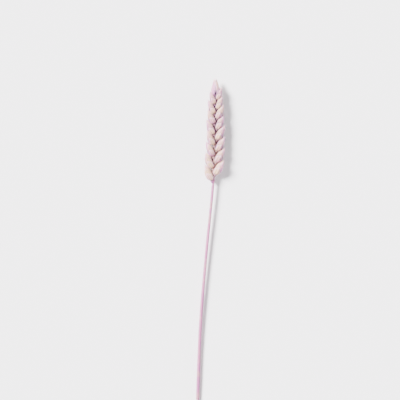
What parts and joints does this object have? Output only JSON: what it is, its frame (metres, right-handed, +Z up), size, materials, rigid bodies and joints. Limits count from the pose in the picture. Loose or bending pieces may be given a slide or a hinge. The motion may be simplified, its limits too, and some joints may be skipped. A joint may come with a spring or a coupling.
{
  "type": "wheat ear",
  "caption": "Dried ear of beardless wheat on a slightly bent straw, cut and lying down, with two rows of husked spikelets and one across the end.",
  "frame": {"origin": "on the surface that the ear lies on, under the middle of its box", "axes": "+X from the straw's cut end to the tip of the ear, +Y to the left of it, +Z up from the surface"},
  "size_m": [0.2462, 0.0214, 0.0099],
  "materials": {
    "straw": "satin",
    "glume": "matte",
    "floret": "matte"
  },
  "bodies": {
    "root": {"straw_and_rachis": "straw", "spikelet_01_florets": "floret", "spikelet_01_glume_upper": "glume", "spikelet_01_glume_lower": "glume", "spikelet_02_florets": "floret", "spikelet_02_glume_upper": "glume", "spikelet_02_glume_lower": "glume", "spikelet_03_florets": "floret", "spikelet_03_glume_upper": "glume", "spikelet_03_glume_lower": "glume", "spikelet_04_florets": "floret", "spikelet_04_glume_upper": "glume", "spikelet_04_glume_lower": "glume", "spikelet_05_florets": "floret", "spikelet_05_glume_upper": "glume", "spikelet_05_glume_lower": "glume", "spikelet_06_florets": "floret", "spikelet_06_glume_upper": "glume", "spikelet_06_glume_lower": "glume", "spikelet_07_florets": "floret", "spikelet_07_glume_upper": "glume", "spikelet_07_glume_lower": "glume", "spikelet_08_florets": "floret", "spikelet_08_glume_upper": "glume", "spikelet_08_glume_lower": "glume", "spikelet_09_florets": "floret", "spikelet_09_glume_upper": "glume", "spikelet_09_glume_lower": "glume", "spikelet_10_florets": "floret", "spikelet_10_glume_upper": "glume", "spikelet_10_glume_lower": "glume", "spikelet_11_florets": "floret", "spikelet_11_glume_upper": "glume", "spikelet_11_glume_lower": "glume", "spikelet_12_florets": "floret", "spikelet_12_glume_upper": "glume", "spikelet_12_glume_lower": "glume", "spikelet_13_florets": "floret", "spikelet_13_glume_upper": "glume", "spikelet_13_glume_lower": "glume", "spikelet_14_florets": "floret", "spikelet_14_glume_upper": "glume", "spikelet_14_glume_lower": "glume", "spikelet_15_florets": "floret", "spikelet_15_glume_upper": "glume", "spikelet_15_glume_lower": "glume", "spikelet_16_florets": "floret", "spikelet_16_glume_upper": "glume", "spikelet_16_glume_lower": "glume", "spikelet_end_florets": "floret", "spikelet_end_glume_upper": "glume", "spikelet_end_glume_lower": "glume"}
  },
  "joints": []
}
